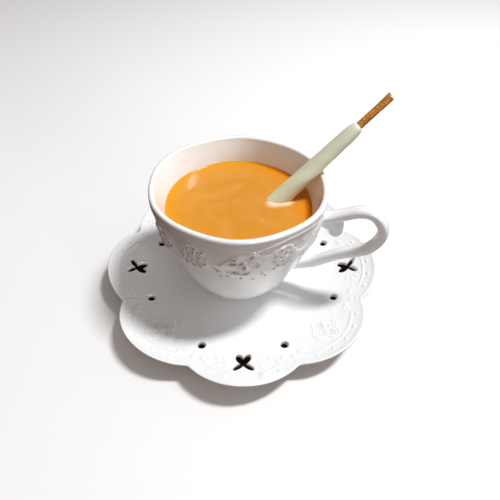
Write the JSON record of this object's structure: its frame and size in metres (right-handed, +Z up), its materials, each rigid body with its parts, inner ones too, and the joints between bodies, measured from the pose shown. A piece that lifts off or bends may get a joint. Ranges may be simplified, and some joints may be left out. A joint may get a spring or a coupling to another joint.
{
  "type": "cup of milk tea",
  "caption": "Porcelain cup of milk tea with a loop handle, standing on a scalloped pierced saucer, with a coated biscuit stick leaning in the tea.",
  "frame": {"origin": "centre of the saucer, on the table plane under its foot ring", "axes": "+Z up, +X towards the side of the cup's handle, -Y towards the drinker"},
  "size_m": [0.145, 0.145, 0.1029],
  "materials": {
    "porcelain": "clear gloss glaze over white",
    "tea": "opaque orange-tan milk tea, wet gloss; gloss_plastic stands in for a liquid",
    "coating": "pale set coating, satin; matte_plastic stands in for confectioner's coating",
    "biscuit": "baked brown biscuit, dry; matte_plastic stands in for biscuit"
  },
  "bodies": {
    "root": {"saucer": "porcelain", "cup": "porcelain", "tea": "tea", "coating": "coating", "biscuit": "biscuit"}
  },
  "joints": []
}
